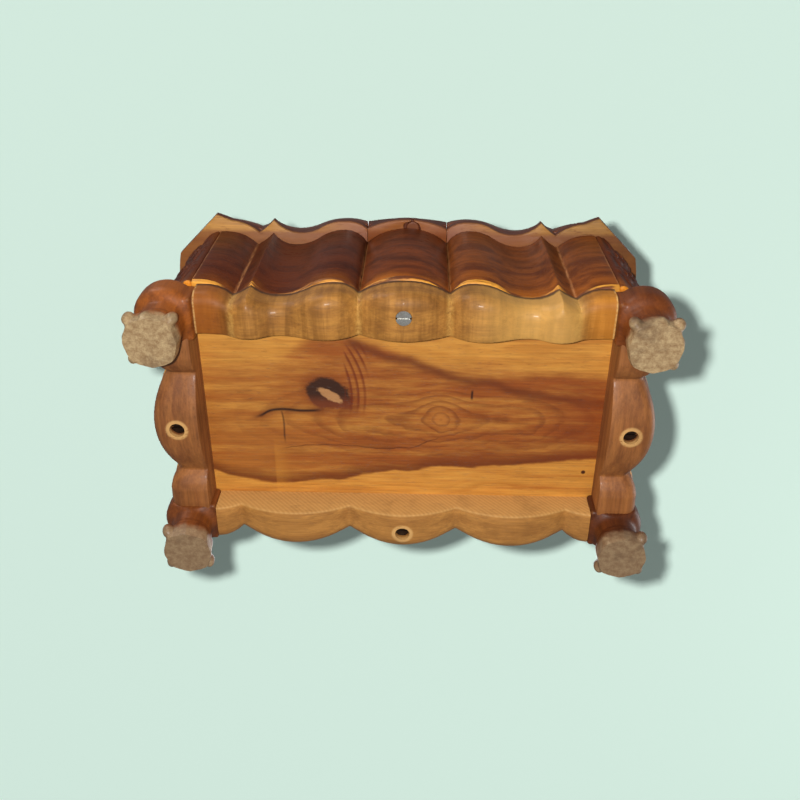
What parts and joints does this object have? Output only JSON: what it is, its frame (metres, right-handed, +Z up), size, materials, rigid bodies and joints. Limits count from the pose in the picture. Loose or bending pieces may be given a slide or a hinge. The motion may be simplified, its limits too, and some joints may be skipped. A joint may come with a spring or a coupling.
{
  "type": "wooden puzzle box",
  "caption": "Scalloped wooden puzzle box on claw feet, with a sliding front panel that hides a lock, a secret key drawer in one end and a hinged lid.",
  "frame": {"origin": "on the surface that the box stands on, under the middle of its length and width", "axes": "+X along the length towards the end with the key drawer, -Y towards the front with the sliding panel, +Z up"},
  "size_m": [0.233, 0.144, 0.1127],
  "materials": {
    "front_apron_wood": "light golden hardwood, thin varnish, worn arrises",
    "back_apron_wood": "tan hardwood with saw marks on its inner face",
    "end_apron_wood": "medium brown hardwood, thin varnish",
    "leg_wood": "orange brown hardwood, carved, with raw sawn soles",
    "panel_wood": "golden sapwood with red brown heartwood and a dark knot",
    "wall_wood": "dark red brown glossy varnish, bare yellow lower bevel",
    "inner_wood": "plain planed hardwood",
    "tray_wood": "plain planed light wood",
    "lid_wood": "dark red brown glossy varnish, golden underside",
    "screw_steel": "zinc plated steel, dulled",
    "brass": "cast and rolled brass, lightly tarnished"
  },
  "bodies": {
    "box": {"front_apron": "front_apron_wood", "back_apron": "back_apron_wood", "left_apron": "end_apron_wood", "right_apron": "end_apron_wood", "front_left_leg": "leg_wood", "front_right_leg": "leg_wood", "back_left_leg": "leg_wood", "back_right_leg": "leg_wood", "base_screws": "screw_steel", "bottom_panel": "panel_wood", "front_left_wall": "wall_wood", "front_right_wall": "wall_wood", "lock_panel": "inner_wood", "back_wall": "wall_wood", "left_wall": "wall_wood", "right_wall": "wall_wood", "front_left_corner": "wall_wood", "front_right_corner": "wall_wood", "back_left_corner": "wall_wood", "back_right_corner": "wall_wood", "false_floor": "inner_wood", "drawer_guides": "inner_wood", "drawer_stop": "inner_wood", "escutcheon": "brass", "escutcheon_pins": "brass", "lock_case": "brass", "lock_screws": "brass", "left_hinge_wall_leaf": "brass", "right_hinge_wall_leaf": "brass", "hinge_pins": "brass", "hinge_wall_screws": "brass"},
    "front_panel": {"front_slide": "wall_wood", "slide_cap": "lid_wood", "slide_runners": "tray_wood"},
    "key_drawer": {"drawer_front": "wall_wood", "drawer_bottom": "tray_wood", "drawer_left_side": "tray_wood", "drawer_right_side": "tray_wood", "drawer_back": "tray_wood", "key": "brass"},
    "bolt": {"lock_bolt": "screw_steel"},
    "lid": {"strike_plate": "brass", "strike_screws": "brass", "lid_front_left_moulding": "lid_wood", "lid_front_right_moulding": "lid_wood", "lid_back_moulding": "lid_wood", "lid_left_moulding": "lid_wood", "lid_right_moulding": "lid_wood", "lid_board": "lid_wood", "lid_raised_field": "lid_wood", "left_hinge_lid_leaf": "brass", "right_hinge_lid_leaf": "brass", "hinge_lid_screws": "brass"}
  },
  "joints": [
    {"name": "lid_hinge", "type": "hinge", "parent": "box", "child": "lid", "pos_m": [0, 0.0686, 0.0979], "axis": [-1, 0, 0], "range_deg": [0, 100]},
    {"name": "panel_slide", "type": "slide", "parent": "box", "child": "front_panel", "axis": [0, 0, 1], "range_m": [0, 0.045]},
    {"name": "drawer_slide", "type": "slide", "parent": "box", "child": "key_drawer", "axis": [1, 0, 0], "range_m": [0, 0.038]},
    {"name": "bolt_slide", "type": "slide", "parent": "box", "child": "bolt", "axis": [0, 0, 1], "range_m": [0, 0.0045]}
  ]
}
